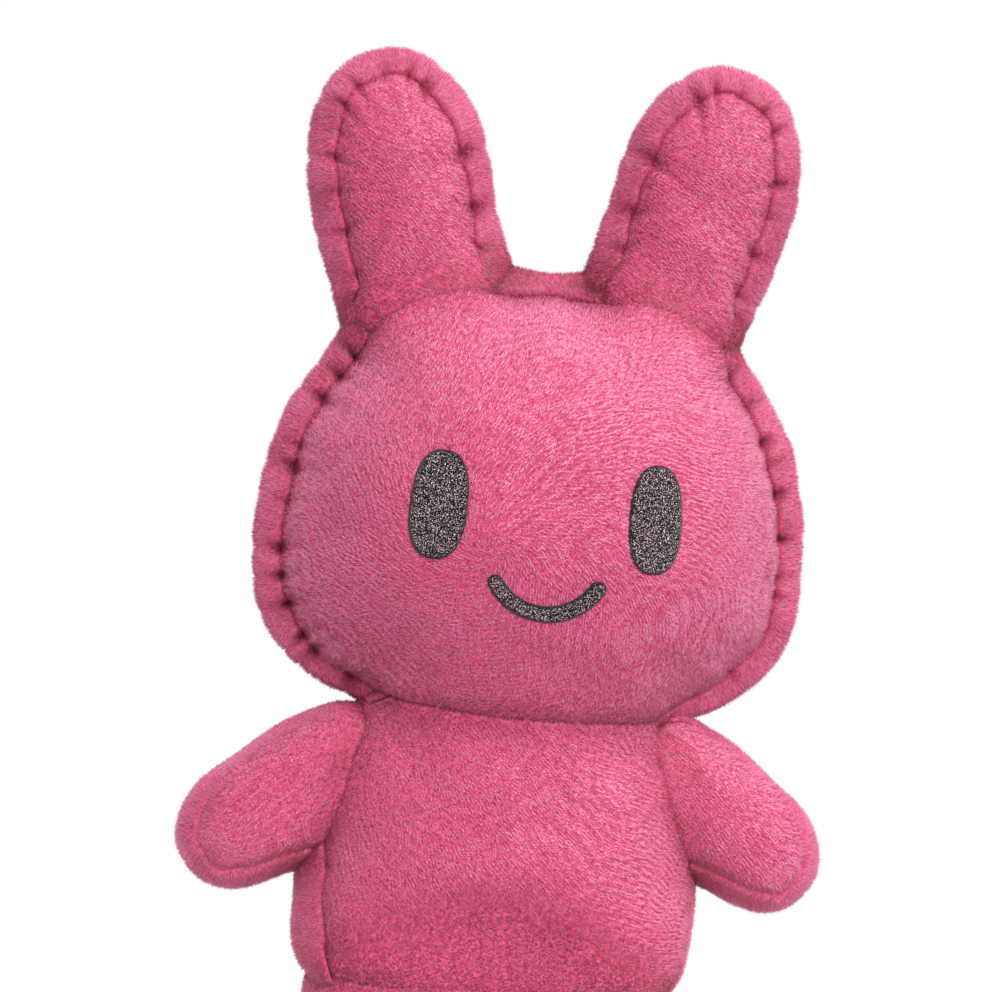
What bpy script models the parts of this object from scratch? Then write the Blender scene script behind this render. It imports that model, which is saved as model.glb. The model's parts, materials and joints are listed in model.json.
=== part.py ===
"""A stuffed bunny rabbit: plush panels sewn in pairs over fibre filling, jointed where it flops.

Units are metres and +Z is up. The rabbit stands on its soles at Z = 0 and faces -Y, so its own
left side is at +X. Every stuffed piece is a pillow: a front and a back panel that meet in a flat
sewn border, over a core of filling.
"""

import math

import bmesh
import bpy
from mathutils import Matrix, Vector
from mathutils.bvhtree import BVHTree

# Cloth and gaps
WALL = 0.0016
BORDER_HALF = 0.0016
GROOVE_HALF = 0.0010
SEAM_GAP = 0.0003
GAP = 0.0005
PATCH_GAP = 0.0009

# Head
HEAD_CENTRE = Vector((0.0, 0.0, 0.204))
HEAD_HALF_WIDTH = 0.0905
HEAD_RISE = 0.089
HEAD_DROP = 0.051
HEAD_POWER = 2.4
HEAD_FRONT = 0.056
HEAD_BACK = 0.050
HEAD_BORDER = 0.009

# Neck: a ball in the top of the body and a post up into the head
NECK_BALL_CENTRE = Vector((0.0, 0.0, 0.138))
NECK_BALL_RADIUS = 0.022
NECK_POST_RADIUS = 0.015
NECK_POST_TOP = 0.181

# Ears
EAR_HINGE = Vector((0.0428, 0.0, 0.2906))
EAR_TILT = math.radians(10)
EAR_HALF_WIDTH = 0.030
EAR_BELOW = 0.030
EAR_ABOVE = 0.049
EAR_DEPTH = 0.0125
EAR_BORDER = 0.007

# Body
BODY_CENTRE = Vector((0.0, 0.0, 0.100))
BODY_HALF_WIDTH = 0.064
BODY_RISE = 0.072
BODY_DROP = 0.060
BODY_FRONT = 0.037
BODY_BACK = 0.037
BODY_BORDER = 0.007
BODY_TOP = 0.149
BODY_HEM = 0.070
BODY_FILL_BOTTOM = 0.0815

# Arms
SHOULDER = Vector((0.060, 0.0, 0.127))
ARM_DROOP = math.radians(37)
ARM_DOWN = math.radians(10)
ARM_LENGTH = 0.0346
ARM_ROOT_RADIUS = 0.0205
ARM_TIP_RADIUS = 0.0175
ARM_DEPTH = 0.0165
ARM_BORDER = 0.005

# Legs
HIP = Vector((0.033, 0.0, 0.058))
LEG_TOP = 0.078
LEG_HALF_WIDTH = 0.0285
LEG_DEPTH = 0.022
LEG_BORDER = 0.005
LEG_OVERRUN = 0.030
SOLE_THICKNESS = 0.0018
SOLE_HALF_DEPTH = 0.0205

# Face
EYE_SPACING = 0.0357
EYE_HEIGHT = 0.219
EYE_HALF_WIDTH = 0.0098
EYE_HALF_HEIGHT = 0.0178
MOUTH_TOP = 0.1955
MOUTH_HALF_WIDTH = 0.0165
MOUTH_SAG = 0.0105
MOUTH_STROKE = 0.0054
PATCH_THICKNESS = 0.0012

# Tail
TAIL_CENTRE = Vector((0.0, 0.0422, 0.090))
TAIL_RADIUS = 0.0145
TAIL_CUT = -0.0045

# How a pillow's crown rises: shares of the way out from its middle
CROWN_RINGS = (0.92, 0.72, 0.42)
HEAD_CROWN_RINGS = (0.94, 0.84, 0.70, 0.52, 0.32, 0.15)
CROWN_POWER = 2.5
CROWN_ROUNDNESS = 1.8

PINK_PLUSH = ("pink_plush", (0.79, 0.20, 0.33), 0.95)
DARK_FELT = ("dark_felt", (0.055, 0.045, 0.048), 0.8)
WHITE_FIBRE = ("white_fibre", (0.85, 0.84, 0.82), 0.95)


def clear_scene():
    for obj in list(bpy.data.objects):
        bpy.data.objects.remove(obj, do_unlink=True)


def material(look):
    """The Principled material of one look, made once."""
    name, colour, roughness = look
    if name in bpy.data.materials:
        return bpy.data.materials[name]
    made = bpy.data.materials.new(name)
    made.use_nodes = True
    shader = made.node_tree.nodes["Principled BSDF"]
    shader.inputs["Base Color"].default_value = (*colour, 1.0)
    shader.inputs["Roughness"].default_value = roughness
    shader.inputs["Metallic"].default_value = 0.0
    return made


def joint_empty(name, location, tilt=0.0):
    """The empty that a moving body's pieces hang from, on its joint's axis."""
    empty = bpy.data.objects.new(name, None)
    empty.location = location
    empty.rotation_euler = (0.0, tilt, 0.0)
    empty.empty_display_size = 0.02
    bpy.context.collection.objects.link(empty)
    return empty


def object_from(name, mesh, look=None, parent=None):
    obj = bpy.data.objects.new(name, mesh)
    bpy.context.collection.objects.link(obj)
    obj.parent = parent
    if look:
        mesh.materials.append(material(look))
        mesh.shade_smooth()
        mesh.set_sharp_from_angle(angle=math.radians(40))
    return obj


def mesh_from_rings(name, rings):
    """A closed mesh lofted through rings of 3D points, ended in a cap or, at one point, a fan."""
    shape = bmesh.new()
    rows = [[shape.verts.new(point) for point in ring] for ring in rings]
    for near, far in zip(rows, rows[1:]):
        count = max(len(near), len(far))
        for i in range(count):
            j = (i + 1) % count
            if len(near) == 1:
                shape.faces.new((near[0], far[j], far[i]))
            elif len(far) == 1:
                shape.faces.new((near[i], near[j], far[0]))
            else:
                shape.faces.new((near[i], near[j], far[j], far[i]))
    if len(rows[0]) > 1:
        shape.faces.new(list(reversed(rows[0])))
    if len(rows[-1]) > 1:
        shape.faces.new(rows[-1])
    bmesh.ops.recalc_face_normals(shape, faces=shape.faces)
    mesh = bpy.data.meshes.new(name)
    shape.to_mesh(mesh)
    shape.free()
    return mesh


# Outlines, as 2D points (across, up) run anticlockwise


def superellipse(count, half_width, rise, drop, power_up=2.0, power_down=2.0):
    points = []
    for i in range(count):
        angle = 2 * math.pi * i / count
        c, s = math.cos(angle), math.sin(angle)
        power = power_up if s >= 0 else power_down
        across = half_width * math.copysign(abs(c) ** (2 / power), c)
        up = (rise if s >= 0 else drop) * math.copysign(abs(s) ** (2 / power), s)
        points.append(Vector((across, up)))
    return points


def paddle(count, length, root_radius, tip_radius):
    """The outline round two circles: the root's at the start and the tip's a length along."""
    lean = math.asin((root_radius - tip_radius) / length)
    half = count // 2
    tip_sweep = math.pi - 2 * lean
    root_sweep = math.pi + 2 * lean
    points = []
    for i in range(half):
        angle = -tip_sweep / 2 + tip_sweep * i / (half - 1)
        points.append(Vector((length, 0)) + tip_radius * Vector((math.cos(angle), math.sin(angle))))
    for i in range(half):
        angle = tip_sweep / 2 + root_sweep * i / (half - 1)
        points.append(root_radius * Vector((math.cos(angle), math.sin(angle))))
    return points


def inset(outline, distance):
    """The outline moved inwards along its own normals."""
    moved = []
    count = len(outline)
    for i, point in enumerate(outline):
        along = (outline[(i + 1) % count] - outline[i - 1]).normalized()
        moved.append(point + distance * Vector((-along.y, along.x)))
    return moved


def shrunk(outline, middle, share):
    return [middle + share * (point - middle) for point in outline]


def crown(share):
    """Height of a pillow's crown, from 0 at its border to 1 in its middle."""
    return (1 - share**CROWN_POWER) ** (1 / CROWN_ROUNDNESS)


def raised(outline, height, side, origin):
    """The 2D outline as 3D points, height metres to the given side of the sewing plane."""
    return [Vector((point.x, side * height, point.y)) + origin for point in outline]


def panel_mesh(name, outline, depth, border, side, origin, middle, shares):
    """One cloth panel: crowned over its filling, flat in its sewn border, and WALL thick."""
    groove = inset(outline, border)
    inner = inset(outline, border + WALL)
    inner_depth = depth - WALL
    outer_rings = [
        raised(outline, BORDER_HALF, side, origin),
        raised(groove, GROOVE_HALF, side, origin),
    ]
    inner_rings = [
        raised(outline, SEAM_GAP / 2, side, origin),
        raised(inner, SEAM_GAP / 2, side, origin),
    ]
    for share in shares:
        height = GROOVE_HALF + (depth - GROOVE_HALF) * crown(share)
        outer_rings.append(raised(shrunk(groove, middle, share), height, side, origin))
        height = SEAM_GAP / 2 + (inner_depth - SEAM_GAP / 2) * crown(share)
        inner_rings.append(raised(shrunk(inner, middle, share), height, side, origin))
    outer_rings.append(raised([middle], depth, side, origin))
    inner_rings.append(raised([middle], inner_depth, side, origin))
    rings = list(reversed(outer_rings)) + inner_rings
    return mesh_from_rings(name, rings)


def filling_mesh(name, outline, front, back, border, origin, middle, shares):
    """The core of filling inside a pair of panels."""
    edge = inset(outline, border + WALL + GAP)
    rings = [raised([middle], front - WALL - GAP, -1, origin)]
    for share in reversed(shares):
        height = (front - WALL - GAP) * crown(share)
        rings.append(raised(shrunk(edge, middle, share), height, -1, origin))
    rings.append(raised(edge, 0.0, 1, origin))
    for share in shares:
        height = (back - WALL - GAP) * crown(share)
        rings.append(raised(shrunk(edge, middle, share), height, 1, origin))
    rings.append(raised([middle], back - WALL - GAP, 1, origin))
    return mesh_from_rings(name, rings)


def pillow(
    prefix, outline, front, back, border, parent, origin=None, middle=None, shares=CROWN_RINGS
):
    """Front panel, back panel and filling; returns the three objects."""
    origin = origin or Vector((0.0, 0.0, 0.0))
    middle = middle or Vector((0.0, 0.0))
    made = []
    for label, depth, side in (("front", front, -1), ("back", back, 1)):
        name = f"{prefix}_{label}_panel"
        mesh = panel_mesh(name, outline, depth, border, side, origin, middle, shares)
        made.append(object_from(name, mesh, PINK_PLUSH, parent))
    name = f"{prefix}_stuffing"
    mesh = filling_mesh(name, outline, front, back, border, origin, middle, shares)
    made.append(object_from(name, mesh, WHITE_FIBRE, parent))
    return made


# Cutters


def hidden_cutter(name, mesh):
    cutter = object_from(name, mesh)
    cutter.hide_render = True
    cutter.display_type = "WIRE"
    return cutter


def box_cutter(name, low, high):
    shape = bmesh.new()
    bmesh.ops.create_cube(shape, size=1.0)
    low, high = Vector(low), Vector(high)
    size = high - low
    place = Matrix.Translation((low + high) / 2) @ Matrix.Diagonal((*size, 1.0))
    bmesh.ops.transform(shape, matrix=place, verts=shape.verts)
    mesh = bpy.data.meshes.new(name)
    shape.to_mesh(mesh)
    shape.free()
    return hidden_cutter(name, mesh)


def round_cutter(name, centre, radius, bottom, top, count=32):
    """An upright cylinder."""
    circle = superellipse(count, radius, radius, radius)
    rings = [[Vector((p.x + centre.x, p.y + centre.y, z)) for p in circle] for z in (bottom, top)]
    return hidden_cutter(name, mesh_from_rings(name, rings))


def ball_cutter(name, centre, radius):
    shape = bmesh.new()
    bmesh.ops.create_icosphere(shape, subdivisions=3, radius=radius)
    bmesh.ops.translate(shape, vec=centre, verts=shape.verts)
    mesh = bpy.data.meshes.new(name)
    shape.to_mesh(mesh)
    shape.free()
    return hidden_cutter(name, mesh)


def arm_sweep_cutter(name, side):
    """The room of an arm from its rest down to its lowest, right through the body."""
    reach = 0.06
    clearance = 2 * GAP
    root = ARM_ROOT_RADIUS + clearance
    outline = []
    for turn, edge in ((0.0, 1), (ARM_DOWN, -1)):
        angle = ARM_DROOP + turn
        along = Vector((math.cos(angle), -math.sin(angle)))
        across = Vector((math.sin(angle), math.cos(angle))) * edge
        outline.append([along * reach + across * root, across * root])
    start = math.atan2(outline[0][1].y, outline[0][1].x)
    end = math.atan2(outline[1][1].y, outline[1][1].x) + 2 * math.pi
    steps = 16
    arc = []
    for i in range(1, steps):
        angle = start + (end - start) * i / steps
        arc.append(root * Vector((math.cos(angle), math.sin(angle))))
    points = [outline[0][0], outline[0][1], *arc, outline[1][1], outline[1][0]]
    rings = []
    for y in (-0.08, 0.08):
        rings.append([Vector((side * (p.x + SHOULDER.x), y, p.y + SHOULDER.z)) for p in points])
    return hidden_cutter(name, mesh_from_rings(name, rings))


def cut(obj, cutter):
    modifier = obj.modifiers.new(f"cut_{cutter.name}", "BOOLEAN")
    modifier.operation = "DIFFERENCE"
    modifier.solver = "EXACT"
    modifier.object = cutter


# The rabbit's pieces


def make_head(parent):
    outline = superellipse(36, HEAD_HALF_WIDTH, HEAD_RISE, HEAD_DROP, HEAD_POWER, HEAD_POWER)
    origin = HEAD_CENTRE - NECK_BALL_CENTRE
    pieces = pillow(
        "head", outline, HEAD_FRONT, HEAD_BACK, HEAD_BORDER, parent, origin, shares=HEAD_CROWN_RINGS
    )
    bottom = HEAD_CENTRE.z - HEAD_DROP - 0.01
    socket = round_cutter(
        "neck_post_room", NECK_BALL_CENTRE, NECK_POST_RADIUS + GAP, bottom, NECK_POST_TOP + GAP
    )
    for piece in pieces:
        cut(piece, socket)
    return pieces


def make_face(head_front, parent):
    """Eyes and mouth: thin patches that follow the crown of the face."""
    surface = BVHTree.FromObject(head_front, bpy.context.evaluated_depsgraph_get())
    base = NECK_BALL_CENTRE

    def on_face(x, z, lift):
        start = Vector((x, -1.0, z)) - base
        hit = surface.ray_cast(start, Vector((0.0, 1.0, 0.0)))[0]
        return hit - Vector((0.0, lift, 0.0))

    def patch(name, rows):
        """A slab over rows of (x, z) points that run round the patch, from its middle out."""
        under = [[on_face(x, z, PATCH_GAP) for x, z in row] for row in rows]
        over = [[on_face(x, z, PATCH_GAP + PATCH_THICKNESS) for x, z in row] for row in rows]
        object_from(name, mesh_from_rings(name, over + under[::-1]), DARK_FELT, parent)

    oval = superellipse(20, EYE_HALF_WIDTH, EYE_HALF_HEIGHT, EYE_HALF_HEIGHT, 2.3, 2.3)
    for label, side in (("left", 1), ("right", -1)):
        middle = Vector((side * EYE_SPACING, EYE_HEIGHT))
        rows = [[tuple(middle)]]
        for share in (0.5, 1.0):
            rows.append([tuple(middle + share * point) for point in oval])
        patch(f"eye_{label}", rows)

    make_mouth(on_face, parent)


def make_mouth(on_face, parent):
    """A smile: an even stroke along an arc, as one bent bar."""
    steps = 14
    half = MOUTH_STROKE / 2
    radius = (MOUTH_HALF_WIDTH**2 + MOUTH_SAG**2) / (2 * MOUTH_SAG)
    sweep = math.asin(MOUTH_HALF_WIDTH / radius)
    rings = []
    for i in range(steps + 1):
        angle = -sweep + 2 * sweep * i / steps
        out = Vector((math.sin(angle), -math.cos(angle)))
        centre = Vector((0.0, MOUTH_TOP - MOUTH_SAG + radius)) + radius * out
        corners = []
        over = PATCH_GAP + PATCH_THICKNESS
        for across, lift in ((-half, PATCH_GAP), (half, PATCH_GAP), (half, over), (-half, over)):
            point = centre + across * out
            corners.append(on_face(point.x, point.y, lift))
        rings.append(corners)
    object_from("mouth", mesh_from_rings("mouth", rings), DARK_FELT, parent)


def make_neck(parent):
    """The filled neck: a ball below, drawn up into a post."""
    join = math.asin(NECK_POST_RADIUS / NECK_BALL_RADIUS)
    steps = 9
    profile = []
    for i in range(1, steps + 1):
        angle = math.pi - (math.pi - join) * i / steps
        profile.append((NECK_BALL_RADIUS * math.sin(angle), NECK_BALL_RADIUS * math.cos(angle)))
    profile.append((NECK_POST_RADIUS, NECK_POST_TOP - NECK_BALL_CENTRE.z))
    rings = [[Vector((0.0, 0.0, -NECK_BALL_RADIUS))]]
    for radius, z in profile:
        rings.append([Vector((p.x, p.y, z)) for p in superellipse(24, radius, radius, radius)])
    object_from("neck_stuffing", mesh_from_rings("neck_stuffing", rings), WHITE_FIBRE, parent)


def make_ear(label, side):
    hinge = Vector((side * EAR_HINGE.x, 0.0, EAR_HINGE.z))
    parent = joint_empty(f"ear_{label}_hinge", hinge, side * EAR_TILT)
    outline = superellipse(24, EAR_HALF_WIDTH, EAR_ABOVE, EAR_BELOW, 2.0, 4.0)
    origin = Vector((0.0, 0.0, EAR_BELOW))
    pillow(f"ear_{label}", outline, EAR_DEPTH, EAR_DEPTH, EAR_BORDER, parent, origin)


def make_body():
    outline = superellipse(36, BODY_HALF_WIDTH, BODY_RISE, BODY_DROP, 2.4, 4.0)
    pieces = pillow("body", outline, BODY_FRONT, BODY_BACK, BODY_BORDER, None, BODY_CENTRE)
    above = box_cutter("above_body", (-0.1, -0.1, BODY_TOP), (0.1, 0.1, 0.2))
    below = box_cutter("below_body", (-0.1, -0.1, 0.0), (0.1, 0.1, BODY_HEM))
    below_fill = box_cutter("below_fill", (-0.1, -0.1, 0.0), (0.1, 0.1, BODY_FILL_BOTTOM))
    neck_room = ball_cutter("neck_ball_room", NECK_BALL_CENTRE, NECK_BALL_RADIUS + 2 * GAP)
    arm_rooms = [arm_sweep_cutter("arm_room_left", 1), arm_sweep_cutter("arm_room_right", -1)]
    front, back, filling = pieces
    for piece in pieces:
        cut(piece, above)
        for room in arm_rooms:
            cut(piece, room)
    for piece in (front, back):
        cut(piece, below)
    cut(filling, below_fill)
    cut(filling, neck_room)


def make_arm(label, side):
    droop = ARM_DROOP if side > 0 else math.pi - ARM_DROOP
    shoulder = Vector((side * SHOULDER.x, 0.0, SHOULDER.z))
    parent = joint_empty(f"arm_{label}_shoulder", shoulder, droop)
    outline = paddle(24, ARM_LENGTH, ARM_ROOT_RADIUS, ARM_TIP_RADIUS)
    middle = Vector((ARM_LENGTH / 2, 0.0))
    pillow(f"arm_{label}", outline, ARM_DEPTH, ARM_DEPTH, ARM_BORDER, parent, middle=middle)


def make_leg(label, side, floor_room):
    hip = Vector((side * HIP.x, 0.0, HIP.z))
    parent = joint_empty(f"leg_{label}_hip", hip)
    length = LEG_TOP + LEG_OVERRUN
    outline = superellipse(24, LEG_HALF_WIDTH, length / 2, length / 2, 3.0, 3.0)
    origin = Vector((0.0, 0.0, LEG_TOP - length / 2 - HIP.z))
    pieces = pillow(f"leg_{label}", outline, LEG_DEPTH, LEG_DEPTH, LEG_BORDER, parent, origin)
    for piece in pieces:
        cut(piece, floor_room)
    oval = superellipse(24, LEG_HALF_WIDTH - LEG_BORDER, SOLE_HALF_DEPTH, SOLE_HALF_DEPTH, 2.6, 2.6)
    rings = []
    for z in (-HIP.z, SOLE_THICKNESS - HIP.z):
        rings.append([Vector((p.x, p.y, z)) for p in oval])
    name = f"leg_{label}_sole"
    object_from(name, mesh_from_rings(name, rings), PINK_PLUSH, parent)


def make_tail():
    """A small round tail: a cover open towards the body, over a ball of filling."""
    steps = 8

    def cup_profile(radius, cut_at):
        start = math.acos(cut_at / radius)
        angles = [start * (1 - i / steps) for i in range(steps)]
        return [(radius * math.sin(a), radius * math.cos(a)) for a in angles]

    def around(profile):
        rings = []
        for radius, y in profile:
            circle = superellipse(20, radius, radius, radius)
            rings.append([Vector((p.x, y, p.y)) + TAIL_CENTRE for p in circle])
        return rings

    outer, inner = TAIL_RADIUS, TAIL_RADIUS - WALL
    tip = [TAIL_CENTRE + Vector((0.0, outer, 0.0))]
    inner_tip = [TAIL_CENTRE + Vector((0.0, inner, 0.0))]
    cover = [tip, *reversed(around(cup_profile(outer, TAIL_CUT)))]
    cover += [*around(cup_profile(inner, TAIL_CUT)), inner_tip]
    object_from("tail_cover", mesh_from_rings("tail_cover", cover), PINK_PLUSH)
    core = inner - GAP
    ball = [*around(cup_profile(core, TAIL_CUT)), [TAIL_CENTRE + Vector((0.0, core, 0.0))]]
    object_from("tail_stuffing", mesh_from_rings("tail_stuffing", ball), WHITE_FIBRE)


def main():
    clear_scene()
    head_joint = joint_empty("head_joint", NECK_BALL_CENTRE)
    neck_joint = joint_empty("neck_joint", NECK_BALL_CENTRE)
    head_front = make_head(head_joint)[0]
    bpy.context.view_layer.update()
    make_face(head_front, head_joint)
    make_neck(neck_joint)
    make_body()
    floor_room = box_cutter("below_leg", (-0.1, -0.1, -0.1), (0.1, 0.1, SOLE_THICKNESS + SEAM_GAP))
    for label, side in (("left", 1), ("right", -1)):
        make_ear(label, side)
        make_arm(label, side)
        make_leg(label, side, floor_room)
    make_tail()


main()
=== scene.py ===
"""The looks of the stuffed rabbit.

Plush covers blown up as cloth, with topstitched borders and a pile of real tufts, and felt on the face.
"""

import json
import math

import bpy
import numpy as np
from mathutils import Matrix, Vector
from mathutils.bvhtree import BVHTree


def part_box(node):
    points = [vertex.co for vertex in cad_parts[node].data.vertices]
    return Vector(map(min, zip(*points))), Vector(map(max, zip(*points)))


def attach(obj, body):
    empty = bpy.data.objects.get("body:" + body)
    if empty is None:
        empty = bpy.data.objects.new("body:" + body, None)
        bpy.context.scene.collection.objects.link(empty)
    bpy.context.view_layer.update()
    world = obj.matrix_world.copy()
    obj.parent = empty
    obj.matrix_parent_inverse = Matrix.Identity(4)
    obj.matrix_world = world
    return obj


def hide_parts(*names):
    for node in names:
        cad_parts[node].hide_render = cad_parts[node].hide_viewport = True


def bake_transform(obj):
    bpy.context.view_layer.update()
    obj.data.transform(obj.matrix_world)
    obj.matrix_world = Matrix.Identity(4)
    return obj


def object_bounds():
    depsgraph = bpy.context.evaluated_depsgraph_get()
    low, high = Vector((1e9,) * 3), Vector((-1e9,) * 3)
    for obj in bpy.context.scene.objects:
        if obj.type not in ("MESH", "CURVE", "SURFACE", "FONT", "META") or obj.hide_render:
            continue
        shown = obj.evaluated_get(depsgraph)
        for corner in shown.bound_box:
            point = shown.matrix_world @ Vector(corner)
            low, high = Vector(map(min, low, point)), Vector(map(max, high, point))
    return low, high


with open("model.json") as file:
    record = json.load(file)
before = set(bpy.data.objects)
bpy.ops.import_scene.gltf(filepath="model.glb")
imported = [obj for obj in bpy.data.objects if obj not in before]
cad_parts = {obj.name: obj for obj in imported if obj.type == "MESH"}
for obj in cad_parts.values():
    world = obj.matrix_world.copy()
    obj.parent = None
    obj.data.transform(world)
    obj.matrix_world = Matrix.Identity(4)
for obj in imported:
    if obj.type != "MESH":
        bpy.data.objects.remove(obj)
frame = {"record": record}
CAD_LOW, CAD_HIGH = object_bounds()

MM = 0.001
SIDES = {"front": -1.0, "back": 1.0}
JOINTS = {joint["name"]: joint for joint in frame["record"]["behaviour"]["joints"]}
CAD_NODES = [node for nodes in frame["record"]["behaviour"]["bodies"].values() for node in nodes]

# Camera, light and floor.
AIM = Vector((-0.0097, 0.0, 0.222))
AZIMUTH, ELEVATION, ROLL = -6.0, 1.0, 4.4
DISTANCE, LENS, SENSOR = 1.1, 121.0, 36.0
KEY_STRENGTH, KEY_ANGLE, KEY_FROM = 1.85, 22.0, (0.46, 0.38, 0.80)
FILL, FILL_SLOPE, FILL_IN_GLOSS = 1.42, (0.16, 0.92, -0.46), 0.15
FLOOR_RADIUS, FLOOR_DROP, FLOOR_GREY = 0.28, 0.2 * MM, 0.72

# The covers' cloth.
SPACING = 1.2 * MM              # between neighbouring points of a cover's edge
BORDER_ROWS, DOME_ROWS = 10, 46
SEAM = 0.7 * MM                 # a border's width where the cloths are only sewn, not topstitched
BORDER = 8.7 * MM               # and where they are topstitched, on the head
GROOVE = 0.7 * MM               # half thickness where the topstitching pulls the two cloths together
BRIDGE = 2.0 * MM               # how far the cloth lifts over the groove between stitches
SKIN = 0.1 * MM                 # added everywhere, so that no two surfaces lie in each other
DIMPLE = 1.9 * MM               # how deep a stitch sinks the border beside it
PULL, DRAG = 2.6 * MM, 0.4 * MM     # how far a stitch pulls the filled part in, close to it and further off
PUFF = 0.5 * MM                 # how far the filled part bulges between stitches
STRAY = 0.55 * MM               # how far the topstitching strays from its line
WOBBLE, WAVE = 0.28 * MM, 0.7 * MM      # how far the edge strays, in the seam's plane and out of it
CREASE, CREASE_SHADE = 17 * MM, 11 * MM  # the belly crease's depth, and the depth at which its pile gets the darkest painted shade
EAR_TILT, ARM_TILT = 14.2, -53
NUDGE = {                       # where a cover sits a little off its even place, in millimetres
    "ear_left_cover": (0.2, 0, 0.4), "ear_right_cover": (2.7, 0, -3.0),
    "arm_left_cover": (0.4, 0, 1.0), "arm_right_cover": (1.0, 0, -2.0),
}
FILLETS = [                     # a cover, the covers it meets, from how near it lifts, and how high
    ("head", ("ear_left", "ear_right"), 15 * MM, 3 * MM),
    ("ear_left", ("head",), 18 * MM, 4.5 * MM), ("ear_right", ("head",), 18 * MM, 4.5 * MM),
    ("body", ("head",), 12 * MM, 3.5 * MM),
    ("arm_left", ("body", "head"), 7 * MM, 1.5 * MM), ("arm_right", ("body", "head"), 7 * MM, 1.5 * MM),
]

# Simulation.
VOXEL, FRAMES, PRESSURE = 4.5 * MM, 20, 4.0
HELD_EDGE = 3.0 * MM
RELIEF_STEP, RELIEF_ROWS = 3, 24

# Limbs and their joints: the joint's movement, the parent body, the piece's lean from upright, and a bend's
# start and end; no bend is made from them here.
BENDS = {
    "ear": ("flop", "head", 10, -2 * MM, 14 * MM),
    "arm": ("raise", "torso", 127, -8 * MM, 14 * MM),
    "leg": ("swing", "torso", 180, -16 * MM, 18 * MM),
}

# Colours.
# Painted shade: the darkest pink of the pile, for creases, stitch pinches and where covers meet.
DEEP_SHADE_PINK = (0.19, 0.010, 0.034)
# Painted shade deep in the pile: the tufts' feet, and the darker end of the cloth's grain.
ROOT_SHADE_PINK = (0.42, 0.030, 0.090)
# The cloth's own pink, darkened as painted shade for the depth under the pile.
SHADED_CLOTH_PINK = (0.69, 0.108, 0.240)
MID_PINK = (0.86, 0.162, 0.332)
# The tufts' tip pink, lighter partly as a painted highlight.
TIP_AND_HIGHLIGHT_PINK = (0.97, 0.435, 0.635)
FELT_STOPS = [(0.50, (0.004, 0.003, 0.004)), (0.57, (0.028, 0.016, 0.019)), (0.65, (0.74, 0.57, 0.59))]
FELT_RIM = (0.018, 0.010, 0.012)
FELT_THICK, FELT_ROUND, FELT_MARGIN = 1.3 * MM, 1.3 * MM, 0.05 * MM


# ---- small helpers

def unit(v):
    return v / np.maximum(np.linalg.norm(v, axis=-1, keepdims=True), 1e-12)


def smoothstep(x, a, b):
    t = np.clip((x - a) / (b - a), 0.0, 1.0)
    return t * t * (3.0 - 2.0 * t)


class Waves:
    """Smooth random variation in space: a sum of waves of about one wavelength, of variance one."""

    def __init__(self, wavelength, seed, count=14):
        rng = np.random.default_rng(seed)
        direction = unit(rng.normal(size=(count, 3)))
        self.k = direction * (2 * np.pi / wavelength) * rng.uniform(0.7, 1.5, (count, 1))
        self.phase = rng.uniform(0, 2 * np.pi, count)
        self.size = math.sqrt(2.0 / count)

    def value(self, points):
        return self.size * np.sin(points @ self.k.T + self.phase).sum(axis=1)

    def slope(self, points):
        """Gradient times the wavelength's scale, so that its size is about one."""
        scale = np.linalg.norm(self.k, axis=1).mean()
        return self.size * (np.cos(points @ self.k.T + self.phase) @ self.k) / scale


# The pile: tufts on a border and on the filled part, and how they draw together.
TUFT_LONG, TUFT_SHORT = 1.9 * MM, 1.1 * MM
TUFT_THIN, TUFT_THICK = 0.16 * MM, 0.205 * MM
TUFT_FOOT = 0.25 * MM           # how deep a tuft's foot stands in the cloth
DENSITY = {"front": 6.2, "back": 3.2}
TUFTS_IN_STRIP = 60000
CLUMP_FINE = Waves(0.8 * MM, 7, 24)
CLUMP_WIDE = Waves(7.5 * MM, 8, 20)
CLOUDS = Waves(22 * MM, 9, 14)
STREAK_STEP, STREAK_REACH = 0.27 * MM, 3
HEAD_CONTRAST, CONTRAST = 1.3, 0.85     # between clumps and partings, in depth and in painted highlight and shade


def object_of(name, points, faces, materials=()):
    mesh = bpy.data.meshes.new(name)
    points = np.asarray(points, np.float32)
    mesh.vertices.add(len(points))
    mesh.vertices.foreach_set("co", points.ravel())
    if isinstance(faces, list):
        counts = np.array([len(face) for face in faces], np.int32)
        flat = np.concatenate([np.asarray(face, np.int32) for face in faces])
    else:
        counts = np.full(len(faces), faces.shape[1], np.int32)
        flat = faces.astype(np.int32).ravel()
    mesh.loops.add(len(flat))
    mesh.loops.foreach_set("vertex_index", flat)
    mesh.polygons.add(len(counts))
    starts = np.concatenate([[0], np.cumsum(counts)[:-1]]).astype(np.int32)
    mesh.polygons.foreach_set("loop_start", starts)
    mesh.update(calc_edges=True)
    mesh.polygons.foreach_set("use_smooth", np.ones(len(counts), bool))
    for material in materials:
        mesh.materials.append(material)
    obj = bpy.data.objects.new(name, mesh)
    bpy.context.scene.collection.objects.link(obj)
    return obj


def points_of(mesh):
    co = np.empty(len(mesh.vertices) * 3)
    mesh.vertices.foreach_get("co", co)
    return co.reshape(-1, 3)


def tree_of(mesh):
    corners = [v.co.copy() for v in mesh.vertices]
    return BVHTree.FromPolygons(corners, [list(p.vertices) for p in mesh.polygons])


def triangles_of(mesh):
    mesh.calc_loop_triangles()
    triangles = np.empty(len(mesh.loop_triangles) * 3, np.int32)
    mesh.loop_triangles.foreach_get("vertices", triangles)
    normals = np.empty(len(mesh.vertices) * 3)
    mesh.vertices.foreach_get("normal", normals)
    return triangles.reshape(-1, 3), points_of(mesh), normals.reshape(-1, 3)


# ---- outlines

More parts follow.
